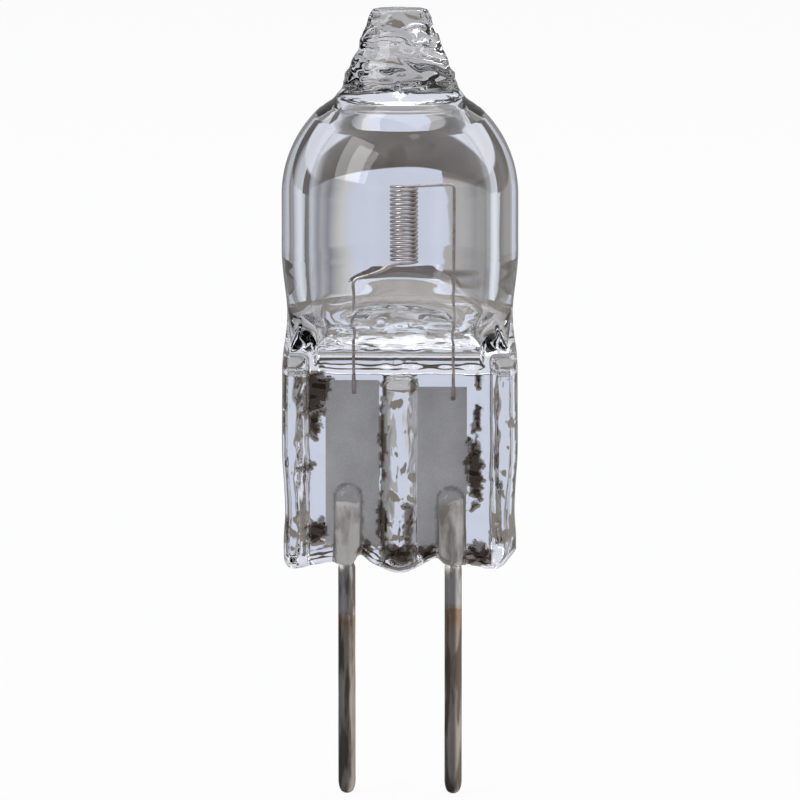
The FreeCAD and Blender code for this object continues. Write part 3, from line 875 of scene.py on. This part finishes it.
def make_studio():
    """The studio round the lamp, by direction: angles in degrees round the lamp and above the level.

    Pale cards stand all round on the table, one each quarter turn and one of them right behind the lamp.
    """
    world = bpy.data.worlds.new("studio")
    bpy.context.scene.world = world
    world.use_nodes = True
    tree = world.node_tree
    tree.nodes.clear()
    way = add(tree, "ShaderNodeTexCoord").outputs["Generated"]
    split = add(tree, "ShaderNodeSeparateXYZ", {0: way}).outputs
    turned = maths(tree, "DEGREES", maths(tree, "ARCTAN2", split["X"], split["Y"]))
    level = maths(tree, "DEGREES", maths(tree, "ARCSINE", split["Z"]))
    quarter = maths(tree, "FLOORED_MODULO", maths(tree, "ADD", turned, CAMERA_TURN + QUARTER / 2), QUARTER)

    def from_to(low, high):
        return carried(tree, level, (low, high), interpolation_type="SMOOTHSTEP")

    def round_ramp(source, half_turn, stops):
        """A ramp whose stops are at angles from -half_turn to half_turn."""
        places = [((at + half_turn) / (2 * half_turn), colour) for at, colour in stops]
        return ramp(tree, source, places)

    # The cards lean back, so they are wider at the foot.
    off_middle = maths(tree, "SUBTRACT", quarter, QUARTER / 2)
    near_card = maths(tree, "MAXIMUM", maths(tree, "MINIMUM", off_middle, LEAN_REACH), -LEAN_REACH)
    lean = carried(tree, level, (-4.5, -9.0), (0.0, LEAN))
    leaning = maths(tree, "MULTIPLY_ADD", near_card, lean, quarter)
    cards = round_ramp(carried(tree, leaning, (0.0, QUARTER)), QUARTER / 2, (
        (-45, (0.62, 0.65, 0.72)),
        (-38, (0.76, 0.80, 0.88)),
        (-27, (0.54, 0.56, 0.62)),
        (-21, (0.28, 0.28, 0.33)),
        (-16.5, (0.36, 0.36, 0.38)),
        (-12.3, (0.21, 0.21, 0.24)),
        (-9.5, (0.42, 0.42, 0.43)),
        (-7.2, (0.58, 0.575, 0.57)),
        (-4.8, CARD),
        (5.0, CARD),
        (5.3, (0.40, 0.39, 0.39)),
        (8.4, (0.39, 0.38, 0.38)),
        (14, (0.26, 0.26, 0.27)),
        (20, (0.25, 0.25, 0.25)),
        (29, (0.20, 0.20, 0.20)),
        (38, (0.16, 0.15, 0.15)),
        (41, (0.52, 0.54, 0.58)),
        (45, (0.60, 0.63, 0.70)),
    ))
    right_of_card = maths(tree, "GREATER_THAN", leaning, QUARTER / 2 + CARD_RIGHT_EDGE)
    dusk = maths(tree, "MULTIPLY", right_of_card, from_to(-3.6, -2.8))
    cards = blend(tree, dusk, cards, (0.115, 0.10, 0.09, 1.0))
    over_cards = round_ramp(carried(tree, quarter, (0.0, QUARTER)), QUARTER / 2, (
        (-45, (0.6, 0.62, 0.66)),
        (-30, (0.5, 0.52, 0.56)),
        (-24, (0.34, 0.34, 0.36)),
        (-18, (0.10, 0.09, 0.08)),
        (0, (0.075, 0.062, 0.052)),
        (20, (0.07, 0.065, 0.06)),
        (45, (0.14, 0.13, 0.125)),
    ))
    # From the table under the lamp up to the ceiling, as the glass shows it
    room = blend(tree, from_to(-9.2, -8.6), (0.21, 0.19, 0.17, 1.0), cards)
    room = blend(tree, from_to(-19.0, -16.0), (0.42, 0.42, 0.43, 1.0), room)
    room = blend(tree, from_to(-45.0, -30.0), (0.62, 0.62, 0.66, 1.0), room)
    room = blend(tree, from_to(-2.45, -2.25), room, over_cards)
    room = blend(tree, from_to(6.5, 9.0), room, (0.72, 0.74, 0.82, 1.0))
    room = blend(tree, from_to(35.0, 55.0), room, (1.25, 1.22, 1.2, 1.0))
    # The same studio in plainer tones, as the metal shows it
    walls = round_ramp(carried(tree, turned, (-180.0, 180.0)), 180, (
        (-180, (0.10, 0.09, 0.085)),
        (-60, (0.06, 0.055, 0.05)),
        (-20, (0.3, 0.3, 0.31)),
        (30, (0.35, 0.34, 0.33)),
        (55, (0.80, 0.76, 0.70)),
        (125, (0.95, 0.90, 0.82)),
        (155, (0.12, 0.11, 0.10)),
        (180, (0.10, 0.09, 0.085)),
    ))
    walls = blend(tree, from_to(20.0, 50.0), walls, (0.5, 0.51, 0.55, 1.0))
    rays = add(tree, "ShaderNodeLightPath").outputs
    lit = blend(tree, rays["Is Transmission Ray"], walls, room)
    seen = blend(tree, rays["Is Camera Ray"], lit, (1.0, 1.0, 1.0, 1.0))
    light = add(tree, "ShaderNodeBackground", {"Color": seen, "Strength": 1.0}).outputs[0]
    add(tree, "ShaderNodeOutputWorld", {"Surface": light})


make_studio()


def add_lamp(name, at, look, size, power, colour):
    """A soft rectangular lamp at a place in metres, turned to look at another."""
    light = bpy.data.lights.new(name, "AREA")
    light.shape = "RECTANGLE"
    light.size, light.size_y = size
    light.energy = power
    light.color = colour
    lamp = bpy.data.objects.new(name, light)
    bpy.context.scene.collection.objects.link(lamp)
    lamp.location = Vector(at)
    lamp.rotation_mode = "QUATERNION"
    lamp.rotation_quaternion = (Vector(look) - Vector(at)).to_track_quat("-Z", "Y")
    lamp.visible_camera = False


add_lamp("softbox_left", (-0.35, -0.25, 0.30), (0, 0, 0.006), (0.25, 0.35), 1.2, (1.0, 1.0, 1.0))
add_lamp("softbox_top", (0.05, 0.1, 0.5), (0, 0, 0.006), (0.4, 0.4), 1.0, (0.95, 0.97, 1.0))

bpy.context.scene.view_settings.view_transform = "Standard"
